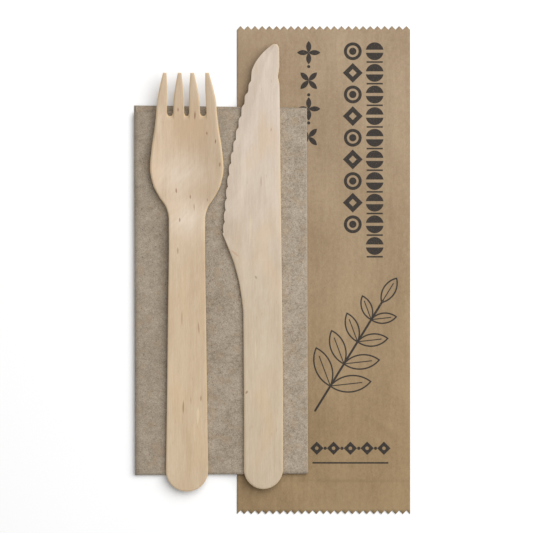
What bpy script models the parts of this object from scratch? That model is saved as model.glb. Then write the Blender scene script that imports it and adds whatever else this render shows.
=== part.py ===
"""Wooden cutlery pack, laid out flat on a table top: a pinked kraft paper bag, a tissue
napkin folded to an eighth, and a birch fork and knife that lie on the napkin.

Metres, +Z up. +Y runs from the handles to the tines and the knife's tip. The origin is the
middle of the laid-out set, on the table top. Every piece is a grid of faces that is bent to
the piece's form and given its thickness by a Solidify modifier.
"""

import math

import bmesh
import bpy
import numpy as np

MM = 0.001
GAP = 0.3 * MM  # between pieces that lie on each other

# Bag: a flat paper tube, sealed across both ends, with pinked edges there
BAG_LEFT = -12.9 * MM
BAG_WIDTH = 64.0 * MM
BAG_HALF_LENGTH = 90.25 * MM
BAG_SWELL = 0.5 * MM  # both walls and the air between them
BAG_SEALED = 0.25 * MM  # both walls pressed together
SEAL_LENGTH = 11.7 * MM
TEETH = 24
TOOTH_DEPTH = 1.4 * MM

# Napkin: a sheet of about 250 x 270 mm, folded in four across and then in half
TISSUE = 0.2 * MM
LAYER_PITCH = 0.28 * MM
PACKET_LAYERS = 4
NAPKIN_LEFT = -50.8 * MM
NAPKIN_WIDTH = 63.9 * MM
NAPKIN_LEAN = -0.003  # slope of its long edges against Y
NAPKIN_LOW = -75.6 * MM
NAPKIN_HIGH = 60.4 * MM
NAPKIN_LOW_TILT = 0.0095  # slope of the folded end against X
NAPKIN_HIGH_TILT = -0.0142  # slope of the open end
OPEN_END_STEP = 2.6 * MM  # how far the upper half's open end lies back, at the left
RAMP_START = -23.0 * MM  # where the napkin starts to climb on to the bag
RAMP_END = -13.6 * MM
NAPKIN_THICKNESS = (2 * PACKET_LAYERS - 1) * LAYER_PITCH + TISSUE

# Fork and knife: one veneer, and where each lies
VENEER = 1.6 * MM
FORK_MIDDLE = -31.3 * MM
FORK_LOW = -81.75 * MM
KNIFE_MIDDLE = -3.2 * MM
KNIFE_LOW = -80.8 * MM

# Fork, in millimetres from the end of its handle
FORK_LENGTH = 154.4
FORK_END_RADIUS = 7.75
FORK_SLOT_ROOT = 138.5
SLOT_ROUNDING = 1.2
# (distance, half width): handle, neck, bowl, tines
FORK_HALF_WIDTHS = [
    (0.0, 7.9),
    (20.3, 7.6),
    (66.8, 6.98),
    (92.7, 6.65),
    (100.7, 6.72),
    (104.5, 7.55),
    (108.9, 10.3),
    (113.4, 12.45),
    (119.2, 13.45),
    (126.6, 12.85),
    (133.6, 11.8),
    (140.0, 11.1),
    (143.4, 10.85),
    (149.0, 9.8),
    (154.4, 8.45),
]
# (distance, distance from the middle): edges of the middle slot, inner tine, outer slot
SLOT_EDGES = [
    [(138.5, 0.9), (143.4, 0.9), (149.0, 1.15), (154.4, 1.65)],
    [(138.5, 4.95), (143.4, 4.8), (149.0, 4.05), (154.4, 3.0)],
    [(138.5, 7.4), (143.4, 7.2), (149.0, 7.05), (154.4, 7.15)],
]
# (distance, shift): the tines stand a little to the left
FORK_SKEW = [(100.0, 0.0), (138.5, -0.1), (154.4, -0.33)]
# (distance, rise of the veneer's middle above its lowest point)
FORK_PROFILE = [
    (0.0, 0.0),
    (20.0, 0.35),
    (82.0, 2.4),
    (91.7, 2.6),
    (98.7, 2.0),
    (107.5, 0.0),
    (112.7, 0.25),
    (123.7, 0.55),
    (138.5, 1.6),
    (154.4, 4.0),
]
# (distance, rise of the bowl's edge above its middle)
FORK_DISH = [
    (96.0, 0.0),
    (102.0, 0.15),
    (112.0, 1.8),
    (120.0, 2.3),
    (132.0, 1.9),
    (142.0, 1.2),
    (154.4, 0.5),
]

# Knife, in millimetres from the end of its handle and from its handle's centre line
KNIFE_END_LENGTH = 7.5
# (distance, side): the back, with a small nick near the tip
KNIFE_BACK = [
    (0.0, 7.3),
    (25.4, 7.3),
    (62.2, 7.0),
    (113.9, 6.4),
    (148.7, 6.0),
    (150.7, 5.7),
    (152.2, 5.4),
    (154.1, 5.75),
    (156.6, 5.95),
    (162.6, 5.85),
    (164.1, 5.1),
]
# (distance, side): handle, hollow behind the heel, heel
KNIFE_FRONT = [
    (0.0, -7.2),
    (18.0, -7.15),
    (63.7, -7.4),
    (74.0, -8.55),
    (82.9, -10.7),
    (88.8, -12.9),
    (94.2, -15.0),
]
# (distance, side) over the tops of the teeth
CUTTING_EDGE = [
    (94.2, -15.0),
    (104.2, -14.25),
    (117.5, -12.8),
    (130.8, -10.2),
    (144.1, -6.9),
    (150.7, -4.7),
]
# (distance, side) along the rounded front of the tip
KNIFE_TIP = [
    (150.7, -4.5),
    (153.8, -4.3),
    (156.7, -3.25),
    (160.4, -0.65),
    (163.1, 2.2),
    (164.1, 3.6),
]
KNIFE_TEETH = 13
NOTCH_DEPTH = 0.5
TOOTH_SQUARENESS = 2.4
BLADE_BEVEL = 4.0
EDGE_SHARE = 0.35  # thickness of the cutting edge, as a share of the veneer's

EDGE_ROUNDING = 0.2 * MM


def clear_scene():
    for thing in list(bpy.data.objects):
        bpy.data.objects.remove(thing)
    for group in list(bpy.data.collections):
        bpy.data.collections.remove(group)


def make_material(name, colour, roughness):
    material = bpy.data.materials.new(name)
    material.use_nodes = True
    shader = material.node_tree.nodes["Principled BSDF"]
    shader.inputs["Base Color"].default_value = (*colour, 1.0)
    shader.inputs["Roughness"].default_value = roughness
    shader.inputs["Metallic"].default_value = 0.0
    return material


def smooth(knots):
    """A smooth function through (position, value) knots that never overshoots them."""
    at, value = np.array(knots).T
    slope = np.diff(value) / np.diff(at)
    same_way = slope[1:] * slope[:-1] > 0
    total = np.where(same_way, slope[1:] + slope[:-1], 1.0)
    bend = np.where(same_way, 2 * slope[1:] * slope[:-1] / total, 0.0)
    tangent = np.concatenate([slope[:1], bend, slope[-1:]])

    def curve(position):
        position = min(max(position, at[0]), at[-1])
        i = min(int(np.searchsorted(at, position, side="right")) - 1, len(slope) - 1)
        span = at[i + 1] - at[i]
        t = (position - at[i]) / span
        from_start = (1 + 2 * t) * value[i] + t * span * tangent[i]
        from_end = (3 - 2 * t) * value[i + 1] + (t - 1) * span * tangent[i + 1]
        return float((1 - t) ** 2 * from_start + t**2 * from_end)

    return curve


def ease(t):
    """0 to 1 with level ends."""
    t = min(max(t, 0.0), 1.0)
    return t * t * (3 - 2 * t)


def mix(a, b, t):
    return a + (b - a) * t


def bent_grid(name, columns, rows, place, keep=None):
    """A grid of faces with corner (i, j) at place(i, j). keep(i, j) chooses its faces."""
    bm = bmesh.new()
    bmesh.ops.create_grid(bm, x_segments=columns, y_segments=rows, size=1.0)
    if keep:
        dropped = []
        for face in bm.faces:
            middle = face.calc_center_median()
            i = math.floor((middle.x + 1) / 2 * columns)
            j = math.floor((middle.y + 1) / 2 * rows)
            if not keep(i, j):
                dropped.append(face)
        bmesh.ops.delete(bm, geom=dropped, context="FACES")
    column = bm.verts.layers.int.new("column")
    row = bm.verts.layers.int.new("row")
    for vertex in bm.verts:
        vertex[column] = round((vertex.co.x + 1) / 2 * columns)
        vertex[row] = round((vertex.co.y + 1) / 2 * rows)
        vertex.co = place(vertex[column], vertex[row])
    bmesh.ops.remove_doubles(bm, verts=bm.verts, dist=0.001 * MM)
    mesh = bpy.data.meshes.new(name)
    bm.to_mesh(mesh)
    bm.free()
    return mesh


def add_piece(name, mesh, material, collection):
    mesh.materials.append(material)
    piece = bpy.data.objects.new(name, mesh)
    collection.objects.link(piece)
    mesh.shade_smooth()
    mesh.set_sharp_from_angle(angle=math.radians(35))
    return piece


def thicken(piece, thickness, offset, share=None):
    """Solidify the piece. share(i, j) scales the thickness at corner (i, j) of its grid."""
    solidify = piece.modifiers.new("Thickness", "SOLIDIFY")
    solidify.thickness = thickness
    solidify.offset = offset
    solidify.use_even_offset = True
    if not share:
        return
    columns = [item.value for item in piece.data.attributes["column"].data]
    rows = [item.value for item in piece.data.attributes["row"].data]
    group = piece.vertex_groups.new(name="thickness")
    for index, (i, j) in enumerate(zip(columns, rows)):
        group.add([index], share(i, j), "REPLACE")
    solidify.vertex_group = group.name


def round_edges(piece):
    bevel = piece.modifiers.new("Rounding", "BEVEL")
    bevel.width = EDGE_ROUNDING
    bevel.segments = 1
    bevel.limit_method = "ANGLE"
    bevel.angle_limit = math.radians(50)


def make_bag(material, collection):
    """The flat tube. Each tooth of the pinked ends is two columns wide."""
    columns = 2 * TEETH
    pitch = BAG_WIDTH / columns
    seal_line = BAG_HALF_LENGTH - SEAL_LENGTH
    blend = 2.0 * MM  # over which the tube opens inside the seal
    rows = [
        -BAG_HALF_LENGTH,
        -BAG_HALF_LENGTH + 2 * TOOTH_DEPTH,
        -seal_line,
        -seal_line + blend,
        seal_line - blend,
        seal_line,
        BAG_HALF_LENGTH - 2 * TOOTH_DEPTH,
        BAG_HALF_LENGTH,
    ]
    last = len(rows) - 1

    def place(i, j):
        x = BAG_LEFT + i * pitch
        y = rows[j]
        if j == 0 and i % 2 == 1:
            y += TOOTH_DEPTH
        if j == last and i % 2 == 0:
            y -= TOOTH_DEPTH
        return (x, y, 0.0)

    def share(i, j):
        if j in (0, 1, 2, last - 2, last - 1, last):
            return BAG_SEALED / BAG_SWELL
        return 0.5 if i in (0, columns) else 1.0

    mesh = bent_grid("kraft_bag", columns, last, place)
    bag = add_piece("kraft_bag", mesh, material, collection)
    thicken(bag, BAG_SWELL, 1.0, share)
    return bag


def packet_section():
    """The section of the four-layer packet, as (x, z) from its lower left corner.

    From the bottom the layers are panels 1, 4, 3 and 2. Panels 1 and 2 join round the
    outside at the right, 3 and 4 inside them, and 2 and 3 join at the left.
    """
    level = [TISSUE / 2 + k * LAYER_PITCH for k in range(PACKET_LAYERS)]
    turn_x = NAPKIN_WIDTH - TISSUE / 2 - 1.5 * LAYER_PITCH
    left_turn_x = 0.9 * MM
    inner_free_x = 0.6 * MM
    ramp = np.linspace(RAMP_START - NAPKIN_LEFT, RAMP_END - NAPKIN_LEFT, 7)
    stations = [15 * MM, *ramp, 50 * MM]

    def run(start, end, z):
        inner = [x for x in stations if min(start, end) < x < max(start, end)]
        if start > end:
            inner.reverse()
        return [(x, z) for x in (start, *inner, end)]

    def turn(x, z, radius, start, end, steps):
        angles = np.radians(np.linspace(start, end, steps + 1)[1:-1])
        return [(x + radius * math.cos(a), z + radius * math.sin(a)) for a in angles]

    points = run(0.0, turn_x, level[0])
    points += turn(turn_x, (level[0] + level[3]) / 2, 1.5 * LAYER_PITCH, -90, 90, 8)
    points += run(turn_x, left_turn_x, level[3])
    points += turn(left_turn_x, (level[3] + level[2]) / 2, LAYER_PITCH / 2, 90, 270, 6)
    points += run(left_turn_x, turn_x, level[2])
    points += turn(turn_x, (level[2] + level[1]) / 2, LAYER_PITCH / 2, 90, -90, 6)
    points += run(turn_x, inner_free_x, level[1])
    return points


def make_napkin(material, collection):
    """The packet's section swept from its open end to the fold, half round and back."""
    section = packet_section()
    packet_top = TISSUE / 2 + (PACKET_LAYERS - 1) * LAYER_PITCH
    fold_z = packet_top + LAYER_PITCH / 2
    fold_y = NAPKIN_LOW + fold_z
    lower = [(y, 0.0) for y in (NAPKIN_HIGH, 20 * MM, -30 * MM, fold_y)]
    turn = [(fold_y, angle) for angle in np.radians(np.arange(20, 180, 20))]
    upper = [(y, math.pi) for y in (fold_y, -30 * MM, 20 * MM, NAPKIN_HIGH)]
    stations = lower + turn + upper
    middle_x = NAPKIN_LEFT + NAPKIN_WIDTH / 2

    def place(i, j):
        x, z = section[i]
        y, angle = stations[j]
        reach = fold_z - z
        along = (y - NAPKIN_LOW) / (NAPKIN_HIGH - NAPKIN_LOW)
        if angle == math.pi:
            y -= OPEN_END_STEP * (1 - x / NAPKIN_WIDTH) * along
        x += NAPKIN_LEFT + NAPKIN_LEAN * y
        y += mix(NAPKIN_LOW_TILT, NAPKIN_HIGH_TILT, along) * (x - middle_x)
        climb = ease((x - RAMP_START) / (RAMP_END - RAMP_START))
        lift = (BAG_SWELL + GAP) * climb
        return (x, y - reach * math.sin(angle), lift + fold_z - reach * math.cos(angle))

    mesh = bent_grid("napkin", len(section) - 1, len(stations) - 1, place)
    napkin = add_piece("napkin", mesh, material, collection)
    thicken(napkin, TISSUE, 0.0)
    return napkin


def rounded_end(length, count):
    """Positions from a round end inwards, closer together near the end."""
    angles = np.linspace(0, math.pi / 2, count)
    return [length * (1 - math.cos(angle)) for angle in angles]


def make_fork(material, collection):
    """Pressed fork, from its left edge to its right one.

    Across each half, the columns are the middle slot's half, the inner tine, the outer
    slot and the outer tine. Past the slots' roots, the slots' faces are left out.
    """
    half_width = smooth(FORK_HALF_WIDTHS)
    slot_edges = [smooth(knots) for knots in SLOT_EDGES]
    skew = smooth(FORK_SKEW)
    profile = smooth(FORK_PROFILE)
    dish = smooth(FORK_DISH)
    band_columns = (2, 2, 4, 2)
    band_ends = np.cumsum(band_columns)
    half_columns = int(band_ends[-1])
    rows = rounded_end(FORK_END_RADIUS, 7)
    rows += list(np.arange(14.0, 96.0, 6.0))
    rows += list(np.arange(97.0, FORK_SLOT_ROOT - 1.5, 2.0))
    root = len(rows)
    rows += list(np.linspace(FORK_SLOT_ROOT + SLOT_ROUNDING, FORK_LENGTH, 8))
    last = len(rows) - 1
    lowest = NAPKIN_THICKNESS + GAP + VENEER / 2

    def band_of(i):
        band = int(np.searchsorted(band_ends, i, side="left"))
        start = band_ends[band] - band_columns[band]
        return band, (i - start) / band_columns[band]

    def place(i, j):
        side = 1 if i >= half_columns else -1
        along = rows[j]
        half = half_width(along)
        spread = min(half / half_width(FORK_SLOT_ROOT), 1.0) if j < root else 1.0
        edges = [0.0, *(edge(along) * spread for edge in slot_edges), half]
        band, within = band_of(abs(i - half_columns))
        aside = mix(edges[band], edges[band + 1], within)
        across = aside / half
        if along < FORK_END_RADIUS:
            inwards = (FORK_END_RADIUS - along) / FORK_END_RADIUS
            aside *= math.sqrt(max(1 - inwards**2, 0.0))
        if j == root and band in (0, 2):
            from_middle = within if band == 0 else abs(2 * within - 1)
            along -= SLOT_ROUNDING * math.sqrt(1 - from_middle**2)
        rise = profile(along) + dish(along) * across**2
        x = FORK_MIDDLE + (side * aside + skew(along)) * MM
        return (x, FORK_LOW + along * MM, lowest + rise * MM)

    def keep(i, j):
        column = i - half_columns if i >= half_columns else half_columns - 1 - i
        return j < root or band_of(column + 1)[0] in (1, 3)

    mesh = bent_grid("fork", 2 * half_columns, last, place, keep)
    fork = add_piece("fork", mesh, material, collection)
    thicken(fork, VENEER, 0.0)
    round_edges(fork)
    return fork


def make_knife(material, collection):
    """Flat knife, from its front edge to its back, thinned along the teeth."""
    back = smooth(KNIFE_BACK)
    front = smooth(KNIFE_FRONT)
    edge = smooth(CUTTING_EDGE)
    tip = smooth(KNIFE_TIP)
    heel = KNIFE_FRONT[-1][0]
    tip_start = KNIFE_TIP[0][0]
    length = KNIFE_TIP[-1][0]
    tooth = (tip_start - heel) / KNIFE_TEETH
    steps_a_tooth = 4
    rows = rounded_end(KNIFE_END_LENGTH, 7)
    rows += list(np.arange(15.0, 60.0, 9.0))
    rows += list(np.linspace(61.0, heel, 10))
    rows += list(np.linspace(heel, tip_start, steps_a_tooth * KNIFE_TEETH + 1)[1:])
    rows += list(np.linspace(tip_start, length, 11)[1:])
    bevel_columns = 3
    columns = bevel_columns + 4
    height = BAG_SWELL + GAP + NAPKIN_THICKNESS + GAP + VENEER / 2

    def front_at(along):
        """The front edge at this row, and the smooth edge over the teeth."""
        if along <= heel:
            return front(along), front(along)
        if along >= tip_start:
            return tip(along), tip(along)
        count, phase = divmod((along - heel) / tooth + 1e-6, 1.0)
        off_middle = 2 * phase - 1
        step = math.copysign(abs(off_middle) ** TOOTH_SQUARENESS, off_middle)
        level = heel + tooth * (count + 0.5 + step / 2)
        notch = NOTCH_DEPTH * abs(off_middle) ** TOOTH_SQUARENESS
        return edge(level) + notch, edge(along)

    def place(i, j):
        along = rows[j]
        left, over_teeth = front_at(along)
        right = back(along)
        if along < KNIFE_END_LENGTH:
            inwards = (KNIFE_END_LENGTH - along) / KNIFE_END_LENGTH
            narrowing = math.sqrt(max(1 - inwards**2, 0.0))
            left = over_teeth = left * narrowing
            right *= narrowing
        bevel_end = over_teeth + min(BLADE_BEVEL, 0.45 * (right - over_teeth))
        if i <= bevel_columns:
            x = mix(left, bevel_end, i / bevel_columns)
        else:
            x = mix(bevel_end, right, (i - bevel_columns) / (columns - bevel_columns))
        return (KNIFE_MIDDLE + x * MM, KNIFE_LOW + along * MM, height)

    def share(i, j):
        if i >= bevel_columns:
            return 1.0
        sharpening = ease((rows[j] - heel + 6.0) / 6.0)
        return mix(1.0, mix(EDGE_SHARE, 1.0, i / bevel_columns), sharpening)

    mesh = bent_grid("knife", columns, len(rows) - 1, place)
    knife = add_piece("knife", mesh, material, collection)
    thicken(knife, VENEER, 0.0, share)
    return knife


def main():
    clear_scene()
    pack = bpy.data.collections.new("wooden_cutlery_pack")
    bpy.context.scene.collection.children.link(pack)
    kraft = make_material("kraft_paper", (0.37, 0.27, 0.165), 0.85)
    tissue = make_material("tissue", (0.35, 0.28, 0.21), 0.95)
    birch = make_material("birch_wood", (0.62, 0.47, 0.32), 0.6)
    make_bag(kraft, pack)
    make_napkin(tissue, pack)
    make_fork(birch, pack)
    make_knife(birch, pack)


main()
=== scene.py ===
"""The looks of the wooden cutlery pack: bag, napkin, fork and knife as fine meshes with
procedural materials, on a pale floor under soft studio light. Metres, as in the frame."""

import math

import bmesh
import bpy
import numpy as np
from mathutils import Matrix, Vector, noise


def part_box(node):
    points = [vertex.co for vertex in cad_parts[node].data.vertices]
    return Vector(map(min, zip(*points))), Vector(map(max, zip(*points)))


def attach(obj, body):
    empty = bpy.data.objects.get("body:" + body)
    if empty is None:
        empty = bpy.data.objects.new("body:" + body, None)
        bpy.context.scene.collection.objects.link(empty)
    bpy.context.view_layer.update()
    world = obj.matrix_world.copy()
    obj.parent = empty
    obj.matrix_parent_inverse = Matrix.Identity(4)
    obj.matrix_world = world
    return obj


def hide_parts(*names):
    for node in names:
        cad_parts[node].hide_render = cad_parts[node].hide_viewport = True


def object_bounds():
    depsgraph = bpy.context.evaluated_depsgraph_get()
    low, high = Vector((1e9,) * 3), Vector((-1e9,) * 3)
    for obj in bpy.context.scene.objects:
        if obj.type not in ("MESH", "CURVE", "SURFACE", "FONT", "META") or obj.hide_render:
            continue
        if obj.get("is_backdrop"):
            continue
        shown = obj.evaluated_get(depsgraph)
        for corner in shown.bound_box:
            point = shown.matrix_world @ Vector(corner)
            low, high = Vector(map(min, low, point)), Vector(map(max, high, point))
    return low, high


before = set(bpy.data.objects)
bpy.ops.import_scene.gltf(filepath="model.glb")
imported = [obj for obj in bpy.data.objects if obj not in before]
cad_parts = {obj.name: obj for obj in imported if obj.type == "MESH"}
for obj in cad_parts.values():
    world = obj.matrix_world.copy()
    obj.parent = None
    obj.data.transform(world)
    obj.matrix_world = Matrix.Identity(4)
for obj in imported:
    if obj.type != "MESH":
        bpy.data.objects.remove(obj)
cad_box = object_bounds()

MM = 0.001
ROOT = "root"
LIGHT_LEVEL = 1.2  # how much brighter a level surface looks than its own colour

# Bag
TEETH = 24
TOOTH_DEPTH = 1.4 * MM
SEAL_LENGTH = 11.7 * MM
PAPER_SWELL = 0.5 * MM  # both walls and the air between them
PAPER_SEALED = 0.25 * MM
LAP_LEFT = 26.9 * MM  # from the bag's left edge
LAP_WIDTH = 9.0 * MM
LAP_STEP = 0.1 * MM
# Soft ridges in millimetres: (x, y, angle, half width, half length, height)
RIDGES = [
    (44.0, -59.0, -32, 1.6, 9.0, 0.3),
    (34.0, -49.0, 38, 1.8, 12.0, 0.22),
    (41.0, 4.0, 66, 2.2, 17.0, 0.2),
    (22.0, 69.0, 78, 2.0, 12.0, 0.16),
]

# Napkin
TISSUE = 0.2 * MM
LAYER_PITCH = 0.28 * MM
PACKET_LAYERS = 4
NAPKIN_LEAN = -0.003
NAPKIN_LOW_TILT = 0.0095
NAPKIN_HIGH_TILT = -0.0142
OPEN_END_STEP = 2.6 * MM
FOLD_STRETCH = 2.2  # how far a fold's round edge reaches, in half its height
RAMP_WIDTH = 9.4 * MM

# Wood
VENEER = 1.6 * MM
EDGE_RADIUS = 0.45  # of the sanded edges, in millimetres

# Fork, in millimetres from the end of its handle
FORK_LENGTH = 154.4
FORK_END_RADIUS = 7.75
FORK_SLOT_ROOT = 138.5
SLOT_ROUNDING = 1.2
# (distance, half width): handle, neck, bowl, tines
FORK_HALF_WIDTHS = [
    (0.0, 7.9),
    (20.3, 7.6),
    (66.8, 6.98),
    (92.7, 6.65),
    (100.7, 6.72),
    (104.5, 7.55),
    (108.9, 10.3),
    (113.4, 12.45),
    (119.2, 13.45),
    (126.6, 12.85),
    (133.6, 11.8),
    (140.0, 11.1),
    (143.4, 10.85),
    (149.0, 9.8),
    (154.4, 8.45),
]
# (distance, distance from the middle): edges of the middle slot, inner tine, outer slot
SLOT_EDGES = [
    [(138.5, 0.9), (143.4, 0.9), (149.0, 1.15), (154.4, 1.65)],
    [(138.5, 4.95), (143.4, 4.8), (149.0, 4.05), (154.4, 3.0)],
    [(138.5, 7.4), (143.4, 7.2), (149.0, 7.05), (154.4, 7.15)],
]
# (distance, shift): the tines stand a little to the left
FORK_SKEW = [(100.0, 0.0), (138.5, -0.1), (154.4, -0.33)]
# (distance, rise of the veneer's middle above its lowest point)
FORK_PROFILE = [
    (0.0, 0.0),
    (20.0, 0.35),
    (82.0, 2.4),
    (91.7, 2.6),
    (98.7, 2.0),
    (107.5, 0.0),
    (112.7, 0.25),
    (123.7, 0.55),
    (138.5, 1.6),
    (154.4, 4.0),
]
# (distance, rise of the bowl's edge above its middle)
FORK_DISH = [
    (96.0, 0.0),
    (102.0, 0.15),
    (112.0, 1.8),
    (120.0, 2.3),
    (132.0, 1.9),
    (142.0, 1.2),
    (154.4, 0.5),
]

# Knife, in millimetres from the end of its handle and from its handle's centre line
KNIFE_END_LENGTH = 7.5
# (distance, side): the back, with a small nick near the tip
KNIFE_BACK = [
    (0.0, 7.3),
    (25.4, 7.3),
    (62.2, 7.0),
    (113.9, 6.4),
    (148.7, 6.0),
    (150.7, 5.7),
    (152.2, 5.4),
    (154.1, 5.75),
    (156.6, 5.95),
    (162.6, 5.85),
    (164.1, 5.1),
]
# (distance, side): handle, hollow behind the heel, heel
KNIFE_FRONT = [
    (0.0, -7.2),
    (18.0, -7.15),
    (63.7, -7.4),
    (74.0, -8.55),
    (82.9, -10.7),
    (88.8, -12.9),
    (94.2, -15.0),
]
# (distance, side) over the tops of the teeth
CUTTING_EDGE = [
    (94.2, -15.0),
    (104.2, -14.25),
    (117.5, -12.8),
    (130.8, -10.2),
    (144.1, -6.9),
    (150.7, -4.7),
]
# (distance, side) along the rounded front of the tip
KNIFE_TIP = [
    (150.7, -4.5),
    (153.8, -4.3),
    (156.7, -3.25),
    (160.4, -0.65),
    (163.1, 2.2),
    (164.1, 3.6),
]
KNIFE_TEETH = 13
NOTCH_DEPTH = 0.5
TOOTH_SQUARENESS = 2.4
BLADE_BEVEL = 4.0
EDGE_SHARE = 0.35  # thickness of the cutting edge, as a share of the veneer's


# ---------------------------------------------------------------- curves and grids


def smooth(knots):
    """A smooth function through (position, value) knots that never overshoots them."""
    at, value = np.array(knots).T
    slope = np.diff(value) / np.diff(at)
    same_way = slope[1:] * slope[:-1] > 0
    total = np.where(same_way, slope[1:] + slope[:-1], 1.0)
    bend = np.where(same_way, 2 * slope[1:] * slope[:-1] / total, 0.0)
    tangent = np.concatenate([slope[:1], bend, slope[-1:]])

    def curve(position):
        position = min(max(position, at[0]), at[-1])
        i = min(int(np.searchsorted(at, position, side="right")) - 1, len(slope) - 1)
        span = at[i + 1] - at[i]
        t = (position - at[i]) / span
        from_start = (1 + 2 * t) * value[i] + t * span * tangent[i]
        from_end = (3 - 2 * t) * value[i + 1] + (t - 1) * span * tangent[i + 1]
        return float((1 - t) ** 2 * from_start + t**2 * from_end)

    return curve


def ease(t):
    """0 to 1 with level ends."""
    t = min(max(t, 0.0), 1.0)
    return t * t * (3 - 2 * t)


def mix(a, b, t):
    return a + (b - a) * t


def bent_grid(name, columns, rows, place, keep=None):
    """A grid of faces with corner (i, j) at place(i, j). keep(i, j) chooses its faces."""
    bm = bmesh.new()
    bmesh.ops.create_grid(bm, x_segments=columns, y_segments=rows, size=1.0)
    if keep:
        dropped = []
        for face in bm.faces:
            middle = face.calc_center_median()
            i = math.floor((middle.x + 1) / 2 * columns)
            j = math.floor((middle.y + 1) / 2 * rows)
            if not keep(i, j):
                dropped.append(face)
        bmesh.ops.delete(bm, geom=dropped, context="FACES")
    column = bm.verts.layers.int.new("column")
    row = bm.verts.layers.int.new("row")
    for vertex in bm.verts:
        vertex[column] = round((vertex.co.x + 1) / 2 * columns)
        vertex[row] = round((vertex.co.y + 1) / 2 * rows)
        vertex.co = place(vertex[column], vertex[row])
    bmesh.ops.remove_doubles(bm, verts=bm.verts, dist=0.001 * MM)
    mesh = bpy.data.meshes.new(name)
    bm.to_mesh(mesh)
    bm.free()
    return mesh


def add_piece(name, mesh, material, node):
    """Put the mesh in the scene for the CAD node that it replaces."""
    mesh.materials.append(material)
    piece = bpy.data.objects.new(name, mesh)
    bpy.context.scene.collection.objects.link(piece)
    mesh.shade_smooth()
    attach(piece, ROOT)
    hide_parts(node)
    return piece


def thicken(piece, thickness, offset, share=None):
    """Solidify the piece. share(i, j) scales the thickness at corner (i, j) of its grid."""
    solidify = piece.modifiers.new("Thickness", "SOLIDIFY")
    solidify.thickness = thickness
    solidify.offset = offset
    solidify.use_even_offset = True
    if not share:
        return
    columns = [item.value for item in piece.data.attributes["column"].data]
    rows = [item.value for item in piece.data.attributes["row"].data]
    group = piece.vertex_groups.new(name="thickness")
    for index, (i, j) in enumerate(zip(columns, rows)):
        group.add([index], share(i, j), "REPLACE")
    solidify.vertex_group = group.name


def rounded_end(length, count):
    """Positions from a round end inwards, closer together near the end."""
    angles = np.linspace(0, math.pi / 2, count)
    return [length * (1 - math.cos(angle)) for angle in angles]


def across_veneer(start, end, inner):
    """Positions from start to end, closer together in the rounded edge at both."""
    radius = min(EDGE_RADIUS, 0.25 * (end - start))
    rim = rounded_end(radius, 4)
    middle = list(np.linspace(start + radius, end - radius, inner + 2)[1:-1])
    return [start + d for d in rim] + middle + [end - d for d in reversed(rim)]


def edge_share(inside):
    """The share of the veneer's thickness at this distance inside its edge."""
    outwards = 1 - min(max(inside / EDGE_RADIUS, 0.0), 1.0)
    lost = EDGE_RADIUS * (1 - math.sqrt(1 - outwards**2))
    return 1 - 2 * lost * MM / VENEER


# ---------------------------------------------------------------- material nodes


class Field:
    """A number that varies over a surface: a socket that can be reckoned with."""

    def __init__(self, tree, socket):
        self.tree = tree
        self.socket = socket

    def reckon(self, operation, *values):
        node = self.tree.nodes.new("ShaderNodeMath")
        node.operation = operation
        for entry, value in zip(node.inputs, values):
            if isinstance(value, Field):
                self.tree.links.new(value.socket, entry)
            else:
                entry.default_value = value
        return Field(self.tree, node.outputs[0])

    def __add__(self, other):
        return self.reckon("ADD", self, other)

    def __sub__(self, other):
        return self.reckon("SUBTRACT", self, other)

    def __rsub__(self, other):
        return self.reckon("SUBTRACT", other, self)

    def __mul__(self, other):
        return self.reckon("MULTIPLY", self, other)

    def __abs__(self):
        return self.reckon("ABSOLUTE", self)

    __radd__ = __add__
    __rmul__ = __mul__

    def least(self, other):
        return self.reckon("MINIMUM", self, other)

    def most(self, other):
        return self.reckon("MAXIMUM", self, other)

    def without(self, hole):
        """This shape with the other one cut out of it."""
        return self.most(0.0 - hole)

    def within(self, low, high):
        """0 below low, 1 above high, and a soft step between."""
        node = self.tree.nodes.new("ShaderNodeMapRange")
        node.interpolation_type = "SMOOTHSTEP"
        node.inputs["From Min"].default_value = low
        node.inputs["From Max"].default_value = high
        self.tree.links.new(self.socket, node.inputs["Value"])
        return Field(self.tree, node.outputs["Result"])


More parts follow.
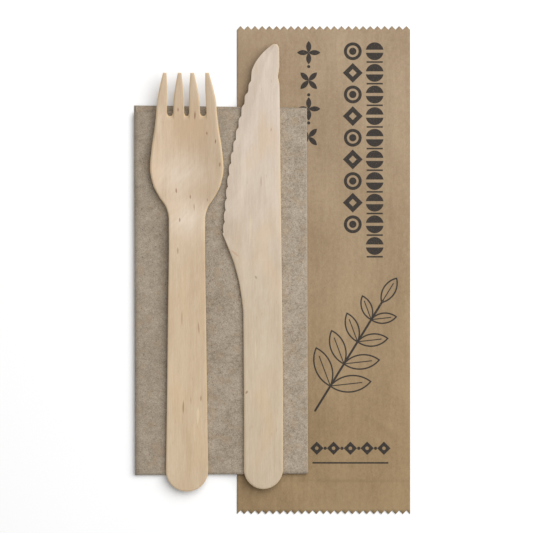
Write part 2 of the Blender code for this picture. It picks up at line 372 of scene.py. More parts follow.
class Surface:
    """A Principled material that is built up from fields."""

    def __init__(self, name, roughness, sheen=0.0):
        self.material = bpy.data.materials.new(name)
        self.material.use_nodes = True
        self.tree = self.material.node_tree
        self.shader = self.tree.nodes["Principled BSDF"]
        self.shader.inputs["Roughness"].default_value = roughness
        self.shader.inputs["Sheen Weight"].default_value = sheen
        self.coords = self.tree.nodes.new("ShaderNodeTexCoord").outputs["Object"]

    def axis(self, name, units=1.0):
        split = self.tree.nodes.new("ShaderNodeSeparateXYZ")
        self.tree.links.new(self.coords, split.inputs[0])
        return Field(self.tree, split.outputs[name]) * units

    def facing(self, name):
        """One component of the surface's own normal."""
        coords = self.tree.nodes.new("ShaderNodeTexCoord")
        split = self.tree.nodes.new("ShaderNodeSeparateXYZ")
        self.tree.links.new(coords.outputs["Normal"], split.inputs[0])
        return Field(self.tree, split.outputs[name])

    def stretched(self, size, turn=0.0, shift=(0.0, 0.0, 0.0)):
        """Coordinates in which one unit is size = (x, y, z) in metres."""
        mapping = self.tree.nodes.new("ShaderNodeMapping")
        mapping.vector_type = "TEXTURE"
        mapping.inputs["Scale"].default_value = size
        mapping.inputs["Rotation"].default_value = (0.0, 0.0, math.radians(turn))
        mapping.inputs["Location"].default_value = shift
        self.tree.links.new(self.coords, mapping.inputs["Vector"])
        return mapping.outputs[0]

    def noise(self, size, detail=3.0, rough=0.5, warp=0.0, turn=0.0, shift=(0, 0, 0)):
        node = self.tree.nodes.new("ShaderNodeTexNoise")
        node.inputs["Scale"].default_value = 1.0
        node.inputs["Detail"].default_value = detail
        node.inputs["Roughness"].default_value = rough
        node.inputs["Distortion"].default_value = warp
        self.tree.links.new(self.stretched(size, turn, shift), node.inputs["Vector"])
        return Field(self.tree, node.outputs["Fac"])

    def cells(self, size, shift=(0, 0, 0), turn=0.0):
        """Distance to the nearest of scattered points, and that point's random number."""
        node = self.tree.nodes.new("ShaderNodeTexVoronoi")
        node.voronoi_dimensions = "2D"
        node.inputs["Scale"].default_value = 1.0
        self.tree.links.new(self.stretched(size, turn, shift), node.inputs["Vector"])
        split = self.tree.nodes.new("ShaderNodeSeparateColor")
        self.tree.links.new(node.outputs["Color"], split.inputs[0])
        distance = Field(self.tree, node.outputs["Distance"])
        return distance, Field(self.tree, split.outputs[0])

    def specks(self, size, radius, share, shift=(0, 0, 0), turn=0.0):
        """Scattered spots, 1 inside. Only this share of the cells holds one."""
        distance, chance = self.cells(size, shift, turn)
        spot = 1.0 - distance.within(radius * 0.45, radius)
        return spot * (1.0 - chance.within(share, share + 0.02))

    def blend(self, amount, first, second):
        """The first colour where amount is 0, the second where it is 1."""
        node = self.tree.nodes.new("ShaderNodeMix")
        node.data_type = "RGBA"
        entries = node.inputs
        self.put(entries[0], amount)
        self.put(entries[6], first)
        self.put(entries[7], second)
        return node.outputs[2]

    def put(self, entry, value):
        if isinstance(value, Field):
            self.tree.links.new(value.socket, entry)
        elif isinstance(value, bpy.types.NodeSocket):
            self.tree.links.new(value, entry)
        elif isinstance(value, tuple):
            entry.default_value = (*value, 1.0)
        else:
            entry.default_value = value

    def colour(self, value):
        self.put(self.shader.inputs["Base Color"], value)

    def roughness(self, value):
        self.put(self.shader.inputs["Roughness"], value)

    def bump(self, height, distance, strength=1.0):
        node = self.tree.nodes.new("ShaderNodeBump")
        node.inputs["Strength"].default_value = strength
        node.inputs["Distance"].default_value = distance
        self.put(node.inputs["Height"], height)
        self.tree.links.new(node.outputs[0], self.shader.inputs["Normal"])


def seen(red, green, blue):
    """The base colour of a surface that looks like this on screen, 0 to 255."""

    def one(value):
        value /= 255
        return ((value + 0.055) / 1.055) ** 2.4 / LIGHT_LEVEL

    return (one(red), one(green), one(blue))


# ---------------------------------------------------------------- print on the bag


class Print:
    """Ink shapes in millimetres. Each is a distance, negative inside the shape."""

    def __init__(self, surface):
        self.x = surface.axis("X", 1000.0)
        self.y = surface.axis("Y", 1000.0)

    def turned(self, x, y, angle):
        """Coordinates with their origin at (x, y) and their first axis at this angle."""
        cos, sin = math.cos(math.radians(angle)), math.sin(math.radians(angle))
        across, up = self.x - x, self.y - y
        return across * cos + up * sin, up * cos - across * sin

    def length(self, across, up):
        return (across * across + up * up).reckon("SQRT", across * across + up * up)

    def disc(self, x, y, radius):
        return self.length(self.x - x, self.y - y) - radius

    def ring(self, x, y, radius, stroke):
        return abs(self.disc(x, y, radius)) - stroke / 2

    def box(self, x, y, half_width, half_height, angle=0.0):
        across, up = self.turned(x, y, angle)
        return (abs(across) - half_width).most(abs(up) - half_height)

    def line(self, start, end, stroke):
        """A straight stroke with round ends."""
        run, rise = end[0] - start[0], end[1] - start[1]
        along, aside = self.turned(*start, math.degrees(math.atan2(rise, run)))
        past = along - along.most(0.0).least(math.hypot(run, rise))
        return self.length(past, aside) - stroke / 2

    def leaf(self, x, y, length, width, angle):
        """A pointed leaf from (x, y) along the angle: where two discs meet."""
        half = length / 2
        radius = (half * half + width * width / 4) / width
        along, aside = self.turned(x, y, angle)
        along = along - half
        lower = self.length(along, aside + (radius - width / 2)) - radius
        upper = self.length(along, aside - (radius - width / 2)) - radius
        return lower.most(upper)

    def fleck(self, x, y, length, width, angle):
        """A slender pointed mark with its middle at (x, y)."""
        cos, sin = math.cos(math.radians(angle)), math.sin(math.radians(angle))
        start = (x - length / 2 * cos, y - length / 2 * sin)
        return self.leaf(*start, length, width, angle)

    def drawn_leaf(self, x, y, length, width, angle, stroke):
        """A leaf in outline with a midrib."""
        cos, sin = math.cos(math.radians(angle)), math.sin(math.radians(angle))
        rib_end = (x + 0.78 * length * cos, y + 0.78 * length * sin)
        rib = self.line((x, y), rib_end, stroke * 0.7)
        return (abs(self.leaf(x, y, length, width, angle)) - stroke / 2).least(rib)


def join(shapes):
    """All the shapes as one."""
    joined = shapes[0]
    for shape in shapes[1:]:
        joined = joined.least(shape)
    return joined


def ornament_bands(ink):
    """Two upright bands: pierced discs and lozenges, and split discs with bars between."""
    shapes = []
    pitch = 8.0
    first = 80.9
    inner_x = 29.9
    outer_x = 38.0
    for k in range(9):
        y = first - k * pitch
        if k % 2:
            block = ink.box(inner_x, y, 2.6, 2.6, 45)
            hole = ink.box(inner_x, y, 1.0, 1.0, 45)
        else:
            block = ink.disc(inner_x, y, 3.3)
            hole = ink.ring(inner_x, y, 1.75, 0.8)
        shapes.append(block.without(hole))
    for k in range(10):
        y = first - k * pitch
        halves = ink.disc(outer_x, y, 3.3).without(ink.box(outer_x, y, 4.0, 0.55))
        shapes.append(halves)
        shapes.append(ink.box(outer_x, y - pitch / 2, 3.0, 0.3))
    return shapes


def florets(ink):
    """A column of four-petalled florets, every other one turned, with dots between."""
    x = 13.6
    first = 80.4
    pitch = 10.4
    shapes = []
    for k in range(4):
        y = first - k * pitch
        for quarter in range(4):
            shapes.append(ink.leaf(x, y, 4.3, 1.9, 90 * quarter + 45 * (k % 2)))
        if k < 3:
            shapes.append(ink.disc(x, y - pitch / 2, 0.6))
    return shapes


def sprig(ink):
    """A slanting leafy twig in outline."""
    stroke = 0.55
    root, top = (16.0, -52.0), (44.0, -6.5)
    stem_end = (41.0, -11.4)
    angle = math.degrees(math.atan2(top[1] - root[1], top[0] - root[0]))
    shapes = [ink.line(root, stem_end, 0.8)]
    shapes.append(ink.drawn_leaf(40.6, -12.0, 10.5, 4.4, angle, stroke))
    for k, share in enumerate((0.2, 0.38, 0.56, 0.74)):
        x, y = mix(root[0], top[0], share), mix(root[1], top[1], share)
        length = 15.0 - 1.9 * k
        shapes.append(ink.drawn_leaf(x, y, length, 0.4 * length, angle - 52, stroke))
        shapes.append(ink.drawn_leaf(x, y, length, 0.4 * length, angle + 52, stroke))
    return shapes


def foot_ornament(ink):
    """A row of lozenges and dots over a thin rule."""
    shapes = []
    y = -65.9
    for k in range(5):
        x = 16.6 + 6.2 * k
        lozenge = ink.box(x, y, 1.75, 1.75, 45)
        shapes.append(lozenge.without(ink.disc(x, y, 0.65)))
        if k < 4:
            shapes.append(ink.disc(x + 3.1, y, 0.6))
    shapes.append(ink.box(29.0, y - 5.4, 14.0, 0.3))
    return shapes


# ---------------------------------------------------------------- materials


def kraft_paper():
    """Brown kraft with streaks along its length, fibres, and dark brown ink."""
    surface = Surface("kraft_paper", 0.78)
    broad = surface.noise((0.02, 0.035, 0.02), detail=3.0)
    streaks = surface.noise((0.0016, 0.02, 0.01), detail=3.0, rough=0.6, warp=0.3)
    mottle = surface.noise((0.0012, 0.0018, 0.001), detail=4.0, rough=0.65)
    fine = surface.noise((0.00035, 0.0006, 0.001), detail=3.0, rough=0.7)
    tone = broad * 0.35 + streaks * 0.15 + mottle * 0.25 + fine * 0.25
    headward = surface.axis("Y").within(-0.09, 0.08)
    dark = surface.blend(headward, seen(138, 112, 77), seen(148, 124, 95))
    light = surface.blend(headward, seen(169, 143, 105), seen(181, 158, 129))
    paper = surface.blend(tone.within(0.3, 0.7), dark, light)
    flecks = surface.specks((0.0016, 0.0028, 1.0), 0.11, 0.16)
    paper = surface.blend(flecks * 0.3, paper, seen(118, 92, 62))
    hairs = surface.specks((0.0012, 0.004, 1.0), 0.09, 0.2, (0.003, 0.002, 0.0), 20)
    paper = surface.blend(hairs * 0.25, paper, seen(196, 174, 144))
    ink = Print(surface)
    shapes = ornament_bands(ink) + florets(ink) + sprig(ink) + foot_ornament(ink)
    front = surface.facing("Z").within(0.2, 0.5)
    mask = (1.0 - join(shapes).within(-0.08, 0.08)) * front
    worn = mask * (1.0 - fine.within(0.5, 0.8) * 0.3)
    colour = surface.blend(worn, paper, seen(42, 34, 27))
    surface.colour(colour)
    surface.bump(mottle * 0.5 + fine * 0.5, 0.06 * MM, 0.6)
    return surface.material


def tissue_paper():
    """Unbleached recycled tissue: soft mottling, loose fibres, specks and fine crepe."""
    surface = Surface("tissue", 0.95, sheen=0.2)
    cloudy = surface.noise((0.007, 0.007, 0.007), detail=2.0, rough=0.6)
    patchy = surface.noise((0.0014, 0.0014, 0.0014), detail=3.0, rough=0.7)
    grainy = surface.noise((0.0004, 0.0003, 0.0004), detail=2.0, rough=0.8)
    hairs = surface.noise((0.00025, 0.0016, 0.0006), detail=2.0, turn=25, warp=1.2)
    more_hairs = surface.noise((0.00025, 0.0016, 0.0006), detail=2.0, turn=-55, warp=1.2)
    tone = cloudy * 0.16 + patchy * 0.22 + grainy * 0.42 + hairs * 0.1 + more_hairs * 0.1
    colour = surface.blend(tone.within(0.32, 0.7), seen(122, 106, 87), seen(202, 188, 169))
    rightward = surface.axis("X").within(-0.05, 0.0)
    colour = surface.blend((1.0 - rightward) * 0.25, colour, seen(146, 134, 117))
    warm = surface.noise((0.0035, 0.0035, 0.0035), detail=2.0, shift=(0.01, 0.02, 0.0))
    colour = surface.blend(warm.within(0.5, 0.75) * 0.35, colour, seen(168, 143, 112))
    brown = surface.specks((0.0021, 0.0021, 1.0), 0.13, 0.16, turn=30)
    black = surface.specks((0.0042, 0.0042, 1.0), 0.055, 0.3, shift=(0.002, 0.001, 0))
    pale = surface.specks((0.0017, 0.0026, 1.0), 0.1, 0.16, shift=(0.001, 0.003, 0))
    colour = surface.blend(brown * 0.6, colour, seen(116, 92, 66))
    colour = surface.blend(black * 0.8, colour, seen(82, 68, 54))
    colour = surface.blend(pale * 0.4, colour, seen(206, 196, 180))
    # Painted highlight: faces turned towards +X, towards the lamp, such as the packet's round
    # right fold, are lightened in colour.
    painted_fold_highlight = surface.facing("X").within(0.3, 0.95)
    surface.colour(surface.blend(painted_fold_highlight * 0.4, colour, seen(206, 194, 177)))
    crepe = surface.noise((0.004, 0.00045, 0.001), detail=3.0, rough=0.6, warp=0.4)
    surface.bump(crepe * 0.5 + grainy * 0.8 + hairs * 0.3, 0.12 * MM, 0.7)
    return surface.material


# Screen colours of the veneer: (dark, light) at the handle's end, then at the tip
FORK_TONES = (((191, 164, 129), (217, 194, 164)), ((186, 160, 130), (215, 193, 166)))
# The knife's paler, pinker tones near its tip are partly the wood's own tone and partly
# painted sheen.
KNIFE_TONES = (((186, 164, 135), (211, 193, 167)), ((197, 179, 160), (222, 206, 190)))
# Marks in the veneer, in millimetres: (x, y, length, width, angle, strength, colour)
BROWN = (122, 68, 24)
CREAM = (236, 214, 178)
FORK_FLECKS = [
    (-34.6, 59.1, 1.3, 0.4, 90, 0.8, BROWN),
    (-28.4, 57.0, 3.0, 0.5, 88, 0.75, BROWN),
    (-24.0, 50.4, 1.1, 0.45, 95, 0.7, BROWN),
    (-20.8, 47.4, 1.6, 0.4, 85, 0.8, BROWN),
    (-19.2, 38.9, 1.7, 0.5, 86, 0.6, BROWN),
    (-35.3, 29.3, 1.9, 0.5, 93, 0.7, BROWN),
    (-30.1, 27.0, 1.5, 0.45, 90, 0.6, BROWN),
    (-23.8, 25.9, 1.2, 0.4, 90, 0.4, BROWN),
    (-28.7, 23.3, 2.6, 0.35, 92, 0.55, BROWN),
    (-34.0, 18.5, 1.6, 0.45, 90, 0.7, BROWN),
    (-34.7, 7.1, 2.6, 0.55, 91, 0.45, BROWN),
    (-33.2, -17.7, 5.5, 0.4, 90, 0.4, BROWN),
    (-27.0, -21.4, 4.4, 0.45, 95, 0.45, BROWN),
    (-26.2, -47.3, 2.2, 0.5, 88, 0.5, BROWN),
    (-29.9, -48.1, 2.6, 0.35, 92, 0.35, BROWN),
    (-32.7, -50.6, 5.0, 0.5, 89, 0.6, BROWN),
    (-27.3, -53.6, 6.2, 1.0, 88, 0.42, CREAM),
    (-28.6, -60.0, 7.0, 0.7, 92, 0.22, CREAM),
]
KNIFE_FLECKS = [
    (-9.3, -45.1, 1.3, 0.7, 60, 0.6, BROWN),
    (-5.9, -2.7, 1.3, 0.7, 120, 0.45, (96, 88, 62)),
    (-13.6, 6.1, 3.6, 0.6, -40, 0.4, (176, 124, 66)),
    (-4.0, 32.6, 4.2, 0.5, 90, 0.35, BROWN),
    (-0.3, 51.8, 1.3, 0.4, 85, 0.4, BROWN),
    (-6.0, -30.0, 9.0, 0.6, 91, 0.3, CREAM),
    (-8.0, 15.0, 12.0, 0.8, 88, 0.25, CREAM),
]
# Soft patches: the warm ones are another tone of the wood, the pale ones are painted sheen, a
# highlight where the pressed wood catches the lamp: (x, y, radius, strength, colour)
PAINTED_SHEEN = (232, 217, 200)
WARM = (198, 166, 128)
FORK_TONE_SHEEN_PATCHES = [
    (-31.5, 19.5, 13.0, 0.38, PAINTED_SHEEN),
    (-33.0, 18.5, 7.0, 0.2, PAINTED_SHEEN),
    (-39.5, 36.0, 12.0, 0.2, PAINTED_SHEEN),
    (-31.0, 34.0, 12.0, 0.35, PAINTED_SHEEN),
    (-30.0, 54.0, 14.0, 0.5, WARM),
    (-28.0, 30.0, 8.0, 0.25, WARM),
]
KNIFE_TONE_SHEEN_PATCHES = [
    (-9.5, 74.0, 7.0, 0.25, PAINTED_SHEEN),
    (-12.0, 48.0, 6.0, 0.2, PAINTED_SHEEN),
    (-15.0, 22.0, 6.0, 0.3, PAINTED_SHEEN),
    (-1.0, -40.0, 9.0, 0.15, WARM),
]


def birch_wood(name, shift, tones, flecks, tone_sheen_patches, bevel_painted_shade=0.0):
    """Pale veneer with grain along Y, marks, patches of its own tone and of painted sheen,
    painted shade on faces turned from the lamp, and lighter edges, partly their own colour
    and partly a painted highlight.
    """
    surface = Surface(name, 0.55)
    ink = Print(surface)
    broad = surface.noise((0.007, 0.03, 0.02), detail=3.0, warp=0.5, shift=shift)
    grain = surface.noise((0.0009, 0.018, 0.01), detail=4.0, rough=0.6, shift=shift)
    fibre = surface.noise((0.00022, 0.0035, 0.002), detail=3.0, rough=0.7, shift=shift)
    ripple = surface.noise((0.0017, 0.009, 0.002), warp=0.6, shift=shift, turn=-38)
    pores = surface.noise((0.00022, 0.0012, 0.001), detail=2.0, shift=shift)
    tone = broad * 0.36 + grain * 0.24 + fibre * 0.32 + ripple * 0.08
    tipward = surface.axis("Y").within(-0.05, 0.07)
    dark = surface.blend(tipward, seen(*tones[0][0]), seen(*tones[1][0]))
    light = surface.blend(tipward, seen(*tones[0][1]), seen(*tones[1][1]))
    colour = surface.blend(tone.within(0.29, 0.71), dark, light)
    warmth = surface.noise((0.009, 0.022, 0.02), detail=2.0, shift=(0.02, 0.01, 0.0))
    colour = surface.blend(warmth.within(0.5, 0.72) * 0.25, colour, seen(216, 180, 134))
    # Patches of the wood's own warmer tone, and pale patches of painted sheen that the ripple
    # breaks into slanting bright stripes.
    for x, y, radius, strength, patch_colour in tone_sheen_patches:
        around = 1.0 - ink.disc(x, y, 0.0).within(0.0, radius)
        amount = around * strength * (0.2 + ripple * 1.6)
        colour = surface.blend(amount.least(1.0), colour, seen(*patch_colour))
    # Painted shade: faces turned towards -X, away from the lamp, such as the knife's blade
    # bevel, are darkened in colour.
    bevel = (0.0 - surface.facing("X")).within(0.05, 0.12)
    colour = surface.blend(bevel * bevel_painted_shade, colour, seen(176, 156, 132))
    thin = surface.specks((0.0018, 0.011, 1.0), 0.08, 0.07, shift)
    colour = surface.blend(thin * 0.3, colour, seen(150, 110, 72))
    colour = surface.blend(pores.within(0.6, 0.8) * 0.25, colour, seen(172, 142, 108))
    ragged = 0.7 + fibre * 0.5
    for *place, strength, mark_colour in flecks:
        inside = 1.0 - ink.fleck(*place).within(-0.14, 0.18)
        colour = surface.blend(inside * strength * ragged, colour, seen(*mark_colour))
    # Lighter edges: partly the cut edges' own cream colour, partly a painted highlight of the
    # lamp on the rounded edges.
    side = 1.0 - abs(surface.facing("Z")).within(0.45, 0.95)
    colour = surface.blend(side * 0.9, colour, seen(247, 217, 168))
    surface.colour(colour)
    surface.roughness(0.5 + fibre * 0.15)
    surface.bump(fibre * 0.7 + pores * 0.4 + grain * 0.3, 0.05 * MM, 0.6)
    return surface.material


# ---------------------------------------------------------------- pieces


def make_bag():
    """A flat tube of paper, creased where it lies free and pressed flat under the napkin."""
    low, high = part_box("kraft_bag")
    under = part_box("napkin")
    columns_a_tooth = 4
    columns = columns_a_tooth * TEETH
    pitch = (high.x - low.x) / columns
    lower = [low.y + step * TOOTH_DEPTH for step in (0.0, 1.4, 2.0)]
    seal = low.y + SEAL_LENGTH
    rows = lower + list(np.linspace(lower[-1], seal - 0.5 * MM, 14)[1:])
    rows += [seal, seal + 0.4 * MM]
    upper_inner = high.y - 2.0 * TOOTH_DEPTH
    rows += list(np.linspace(seal + 0.8 * MM, upper_inner, 238))
    rows += [high.y - 1.4 * TOOTH_DEPTH, high.y]
    last = len(rows) - 1

    def tooth(i):
        """0 at a tooth's tip on the lower end, 1 at its root."""
        return 1 - abs(2 * (i % columns_a_tooth) / columns_a_tooth - 1)

    def free(x, y):
        """1 where nothing lies on the bag, 0 under the napkin."""
        past_side = ease((x - under[1].x - 0.5 * MM) / (9 * MM))
        past_top = ease((y - under[1].y - 1.0 * MM) / (9 * MM))
        past_foot = ease((under[0].y - 1.0 * MM - y) / (6 * MM))
        return max(past_side, past_top, past_foot)

    def ridge(x, y, middle_x, middle_y, angle, half_width, half_length, height):
        """A straight soft ridge, in millimetres."""
        cos, sin = math.cos(math.radians(angle)), math.sin(math.radians(angle))
        across, up = x / MM - middle_x, y / MM - middle_y
        along, aside = across * cos + up * sin, up * cos - across * sin
        return height * math.exp(-((along / half_length) ** 2) - (aside / half_width) ** 2)

    def creases(x, y):
        """Height of the soft creases, never below zero."""
        wide = noise.noise(Vector((x / 0.016, y / 0.045, 1.3)))
        slanted = noise.noise(Vector(((x + 0.35 * y) / 0.009, y / 0.03, 7.1)))
        sharp = abs(noise.noise(Vector(((x - 0.5 * y) / 0.013, y / 0.022, 3.7))))
        ridges = sum(ridge(x, y, *place) for place in RIDGES)
        return (0.35 + 0.45 * wide + 0.2 * slanted + 0.4 * (0.4 - sharp) + ridges) * MM

    def place(i, j):
        x = low.x + i * pitch
        y = rows[j]
        if j == 0:
            y += tooth(i) * TOOTH_DEPTH
        if j == last:
            y -= (1 - tooth(i)) * TOOTH_DEPTH
        from_lap = abs(x - low.x - LAP_LEFT - LAP_WIDTH / 2)
        step = LAP_STEP * ease((from_lap - LAP_WIDTH / 2) / (0.5 * MM))
        from_side = min(x - low.x, high.x - x)
        from_end = min(y - low.y, high.y - y)
        settle = ease(from_side / (7 * MM)) * mix(0.25, 1.0, ease(from_end / (14 * MM)))
        rise = max(creases(x, y), 0.0) * free(x, y) * settle
        return (x, y, low.z + step + rise)

    def share(i, j):
        from_side = min(i, columns - i) * pitch
        side = mix(0.5, 1.0, ease(from_side / (1.2 * MM)))
        past_seal = ease((rows[j] - seal) / (1.2 * MM))
        from_mouth = ease((high.y - rows[j]) / (35 * MM))
        return mix(PAPER_SEALED / PAPER_SWELL, side, min(past_seal, from_mouth))

    mesh = bent_grid("paper_bag", columns, last, place)
    bag = add_piece("paper_bag", mesh, kraft_paper(), "kraft_bag")
    thicken(bag, PAPER_SWELL, 1.0, share)


def packet_section(width):
    """The section of the four-layer packet, as (x, z) from its lower left corner.

    From the bottom the layers are panels 1, 4, 3 and 2. Panels 1 and 2 join round the
    outside at the right, 3 and 4 inside them, and 2 and 3 join at the left.
    """
    level = [TISSUE / 2 + k * LAYER_PITCH for k in range(PACKET_LAYERS)]
    turn_x = width - TISSUE / 2 - FOLD_STRETCH * 1.5 * LAYER_PITCH
    left_turn_x = 0.9 * MM
    inner_free_x = 0.6 * MM
    stations = list(np.linspace(2 * MM, turn_x - 1 * MM, 40))

    def run(start, end, z):
        inner = [x for x in stations if min(start, end) < x < max(start, end)]
        if start > end:
            inner.reverse()
        return [(x, z) for x in (start, *inner, end)]

    def turn(x, z, radius, start, end, steps):
        angles = np.radians(np.linspace(start, end, steps + 1)[1:-1])
        reach = FOLD_STRETCH * radius
        return [(x + reach * math.cos(a), z + radius * math.sin(a)) for a in angles]

    points = run(0.0, turn_x, level[0])
    points += turn(turn_x, (level[0] + level[3]) / 2, 1.5 * LAYER_PITCH, -90, 90, 10)
    points += run(turn_x, left_turn_x, level[3])
    points += turn(left_turn_x, (level[3] + level[2]) / 2, LAYER_PITCH / 2, 90, 270, 8)
    points += run(left_turn_x, turn_x, level[2])
    points += turn(turn_x, (level[2] + level[1]) / 2, LAYER_PITCH / 2, 90, -90, 8)
    points += run(turn_x, inner_free_x, level[1])
    return points


def make_napkin():
    """One sheet, folded in four across and then in half, that climbs on to the bag."""
    low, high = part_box("napkin")
    bag_low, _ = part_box("kraft_bag")
    lean = NAPKIN_LEAN * (high.y - low.y) / 2
    left, width = low.x - lean, high.x - low.x + 2 * lean
    section = packet_section(width)
    packet_top = TISSUE / 2 + (PACKET_LAYERS - 1) * LAYER_PITCH
    fold_z = packet_top + LAYER_PITCH / 2
    foot = low.y + NAPKIN_LOW_TILT * width / 2
    head = high.y + NAPKIN_HIGH_TILT * width / 2
    fold_y = foot + fold_z
    straight = list(np.linspace(head, fold_y, 90))
    stations = [(y, 0.0) for y in straight]
    stations += [(fold_y, angle) for angle in np.radians(np.arange(15, 180, 15))]
    stations += [(y, math.pi) for y in reversed(straight)]
    middle_x = left + width / 2
    ramp_end = bag_low.x - 0.7 * MM
    full_height = 2 * fold_z
    climb = high.z - low.z - full_height

    def softness(x, y):
        """Gentle unevenness of the tissue, from -1 to 1."""
        broad = noise.noise(Vector((x / 0.02, y / 0.03, 2.2)))
        fine = noise.noise(Vector((x / 0.005, y / 0.006, 5.0)))
        return 0.7 * broad + 0.3 * fine

    def place(i, j):
        x, z = section[i]
        y, angle = stations[j]
        reach = fold_z - z
        along = (y - foot) / (head - foot)
        if angle == math.pi:
            y -= OPEN_END_STEP * (1 - x / width) * along
        x += left + NAPKIN_LEAN * y
        y += mix(NAPKIN_LOW_TILT, NAPKIN_HIGH_TILT, along) * (x - middle_x)
        y -= reach * math.sin(angle)
        height = fold_z - reach * math.cos(angle)
        lift = climb * ease((x - ramp_end + RAMP_WIDTH) / RAMP_WIDTH)
        uneven = 0.1 * MM * softness(x, y) * height / full_height
        return (x, y, low.z + lift + height + uneven)

    mesh = bent_grid("folded_napkin", len(section) - 1, len(stations) - 1, place)
    napkin = add_piece("folded_napkin", mesh, tissue_paper(), "napkin")
    thicken(napkin, TISSUE, 0.0)


def make_fork():
    """Pressed fork, from its left edge to its right one.

    Across each half, the columns are the middle slot's half, the inner tine, the outer
    slot and the outer tine. Past the slots' roots, the slots' faces are left out.
    """
    low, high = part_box("fork")
    middle_x = (low.x + high.x) / 2
    half_width = smooth(FORK_HALF_WIDTHS)
    slot_edges = [smooth(knots) for knots in SLOT_EDGES]
    skew = smooth(FORK_SKEW)
    profile = smooth(FORK_PROFILE)
    dish = smooth(FORK_DISH)
    rows = rounded_end(FORK_END_RADIUS, 16)
    rows += list(np.arange(9.0, 93.0, 1.5))
    rows += list(np.arange(93.0, FORK_SLOT_ROOT - 0.5, 0.8))
    root = len(rows)
    tine_rows = across_veneer(FORK_SLOT_ROOT + SLOT_ROUNDING, FORK_LENGTH, 18)
    rows += [tine_rows[0], *tine_rows[4:]]
    last = len(rows) - 1
    half_slot, slot, tine_inner = 3, 6, 3

    def row_edges(j):
        """From the middle outwards: middle, slot, tine, slot and the fork's own edge."""
        along = rows[j]
        half = half_width(along)
        spread = min(half / half_width(FORK_SLOT_ROOT), 1.0) if j < root else 1.0
        return [0.0, *(edge(along) * spread for edge in slot_edges), half]

    def row_stations(edges):
        """(distance from the middle, band) of each column in one half."""
        middle, first, second, third, half = edges
        bands = [
            np.linspace(middle, first, half_slot + 1),
            across_veneer(first, second, tine_inner),
            np.linspace(second, third, slot + 1),
            across_veneer(third, half, tine_inner),
        ]
        stations = [(0.0, 0)]
        for band, positions in enumerate(bands):
            stations += [(aside, band) for aside in positions[1:]]
        return stations

    edges_of = [row_edges(j) for j in range(len(rows))]
    stations_of = [row_stations(edges) for edges in edges_of]
    half_columns = len(stations_of[0]) - 1

    def narrowing(along):
        """How far the round handle end has closed in: 0 inside it, 1 at its end."""
        return max((FORK_END_RADIUS - along) / FORK_END_RADIUS, 0.0)

    def place(i, j):
        side = 1 if i >= half_columns else -1
        along = rows[j]
        edges = edges_of[j]
        aside, band = stations_of[j][abs(i - half_columns)]
        across = aside / edges[-1]
        aside *= math.sqrt(1 - narrowing(along) ** 2)
        if j == root and band in (0, 2):
            width = edges[band + 1] - edges[band]
            within = (aside - edges[band]) / width
            from_middle = within if band == 0 else abs(2 * within - 1)
            along -= SLOT_ROUNDING * math.sqrt(max(1 - from_middle**2, 0.0))
        rise = profile(along) + dish(along) * across**2
        x = middle_x + (side * aside + skew(along)) * MM
        return (x, low.y + along * MM, low.z + VENEER / 2 + rise * MM)

    def share(i, j):
        along = rows[j]
        edges = edges_of[j]
        aside, band = stations_of[j][abs(i - half_columns)]
        if j < root:
            closed = narrowing(along)
            across = aside / edges[-1] * math.sqrt(1 - closed**2)
            return edge_share(edges[-1] * (1 - math.hypot(across, closed)))
        if band in (0, 2):
            return edge_share(0.0)
        inside = min(aside - edges[band], edges[band + 1] - aside, FORK_LENGTH - along)
        return edge_share(inside)

    def keep(i, j):
        column = i - half_columns if i >= half_columns else half_columns - 1 - i
        return j < root or stations_of[j][column + 1][1] in (1, 3)

    mesh = bent_grid("birch_fork", 2 * half_columns, last, place, keep)
    shift = (0.03, 0.01, 0.0)
    wood = birch_wood("fork_birch", shift, FORK_TONES, FORK_FLECKS, FORK_TONE_SHEEN_PATCHES)
    fork = add_piece("birch_fork", mesh, wood, "fork")
    thicken(fork, VENEER, 0.0, share)


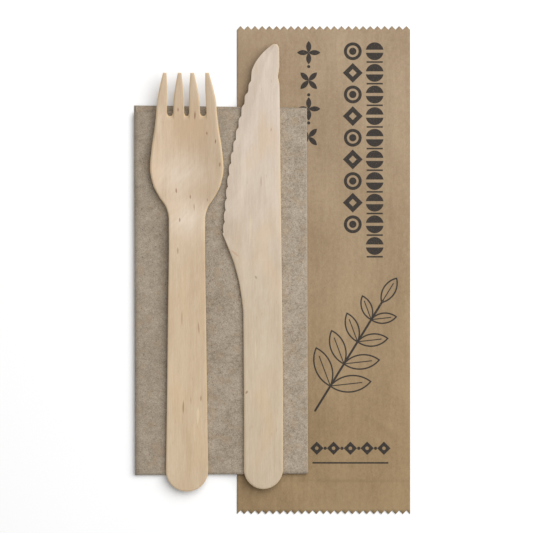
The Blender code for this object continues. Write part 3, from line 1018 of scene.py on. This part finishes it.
def make_knife():
    """Flat knife, from its front edge to its back, thinned along the teeth."""
    low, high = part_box("knife")
    back = smooth(KNIFE_BACK)
    front = smooth(KNIFE_FRONT)
    edge = smooth(CUTTING_EDGE)
    tip = smooth(KNIFE_TIP)
    middle_x = high.x - KNIFE_BACK[0][1] * MM
    heel = KNIFE_FRONT[-1][0]
    tip_start = KNIFE_TIP[0][0]
    length = KNIFE_TIP[-1][0]
    tooth = (tip_start - heel) / KNIFE_TEETH
    steps_a_tooth = 8
    rows = rounded_end(KNIFE_END_LENGTH, 16)
    rows += list(np.arange(9.0, 61.0, 2.0))
    rows += list(np.linspace(61.0, heel, 36))
    rows += list(np.linspace(heel, tip_start, steps_a_tooth * KNIFE_TEETH + 1)[1:])
    rows += across_veneer(tip_start, length, 20)[4:]
    inner = 14

    def front_at(along):
        """The front edge at this row, and the smooth edge over the teeth."""
        if along <= heel:
            return front(along), front(along)
        if along >= tip_start:
            return tip(along), tip(along)
        count, phase = divmod((along - heel) / tooth + 1e-6, 1.0)
        off_middle = 2 * phase - 1
        step = math.copysign(abs(off_middle) ** TOOTH_SQUARENESS, off_middle)
        level = heel + tooth * (count + 0.5 + step / 2)
        notch = NOTCH_DEPTH * abs(off_middle) ** TOOTH_SQUARENESS
        return edge(level) + notch, edge(along)

    def row_stations(along):
        """Positions across, and how far a bevel from the front edge has come at each."""
        left, over_teeth = front_at(along)
        right = back(along)
        bevel = min(BLADE_BEVEL, 0.45 * (right - over_teeth))
        positions = across_veneer(left, right, inner)
        return [(x, (x - over_teeth) / bevel) for x in positions]

    stations_of = [row_stations(along) for along in rows]

    def narrowing(along):
        """How far the round handle end has closed in: 0 inside it, 1 at its end."""
        return max((KNIFE_END_LENGTH - along) / KNIFE_END_LENGTH, 0.0)

    def place(i, j):
        along = rows[j]
        x = stations_of[j][i][0] * math.sqrt(1 - narrowing(along) ** 2)
        return (middle_x + x * MM, low.y + along * MM, low.z + VENEER / 2)

    def share(i, j):
        along = rows[j]
        x, beveled = stations_of[j][i]
        left, right = stations_of[j][0][0], stations_of[j][-1][0]
        closed = narrowing(along)
        if closed:
            half = right if x > 0 else -left
            across = abs(x) / half * math.sqrt(1 - closed**2)
            return edge_share(half * (1 - math.hypot(across, closed)))
        sharpening = ease((along - heel + 6.0) / 6.0)
        blade = mix(EDGE_SHARE, 1.0, min(max(beveled, 0.0), 1.0))
        inside = min(x - left, right - x, length - along)
        return min(mix(1.0, blade, sharpening), edge_share(inside))

    mesh = bent_grid("birch_knife", len(stations_of[0]) - 1, len(rows) - 1, place)
    shift = (-0.02, 0.04, 0.01)
    wood = birch_wood("knife_birch", shift, KNIFE_TONES, KNIFE_FLECKS, KNIFE_TONE_SHEEN_PATCHES, 0.12)
    knife = add_piece("birch_knife", mesh, wood, "knife")
    thicken(knife, VENEER, 0.0, share)


# ---------------------------------------------------------------- stage


def make_camera():
    """Straight down from above, with +Y up the picture."""
    distance = 1.6
    width_seen = 0.1972
    camera = bpy.data.cameras.new("overhead")
    camera.lens = camera.sensor_width * distance / width_seen
    camera.clip_end = 10.0
    stand = bpy.data.objects.new("overhead", camera)
    stand.location = (-2.0 * MM, 1.3 * MM, distance)
    bpy.context.scene.collection.objects.link(stand)
    bpy.context.scene.camera = stand


def add_area_light(name, location, size, power):
    """A square lamp that shines at the origin."""
    light = bpy.data.lights.new(name, "AREA")
    light.size = size
    light.energy = power
    lamp = bpy.data.objects.new(name, light)
    lamp.location = location
    lamp.rotation_mode = "QUATERNION"
    lamp.rotation_quaternion = (-Vector(location)).to_track_quat("-Z", "Y")
    bpy.context.scene.collection.objects.link(lamp)


def make_floor():
    """A plain pale sheet just under the pieces."""
    surface = Surface("floor", 0.9)
    tone = surface.noise((0.2, 0.2, 0.2), detail=2.0)
    surface.colour(surface.blend(tone, (0.88, 0.88, 0.88), (0.92, 0.92, 0.92)))
    bm = bmesh.new()
    bmesh.ops.create_grid(bm, x_segments=8, y_segments=8, size=1.5)
    mesh = bpy.data.meshes.new("floor")
    bm.to_mesh(mesh)
    bm.free()
    mesh.materials.append(surface.material)
    floor = bpy.data.objects.new("floor", mesh)
    floor.location.z = -0.02 * MM
    bpy.context.scene.collection.objects.link(floor)
    floor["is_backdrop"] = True


def make_light():
    """A white surround and one soft lamp from the upper right."""
    world = bpy.data.worlds.new("studio")
    world.use_nodes = True
    background = world.node_tree.nodes["Background"]
    background.inputs["Color"].default_value = (1.0, 1.0, 1.0, 1.0)
    background.inputs["Strength"].default_value = 0.37
    bpy.context.scene.world = world
    add_area_light("key", (0.34, 0.27, 0.81), 1.0, 10.9)
    bpy.context.scene.view_settings.view_transform = "Standard"


make_camera()
make_floor()
make_light()
make_bag()
make_napkin()
make_fork()
make_knife()

visual_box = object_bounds()
corners = [[[round(c, 6) for c in corner] for corner in box] for box in (cad_box, visual_box)]
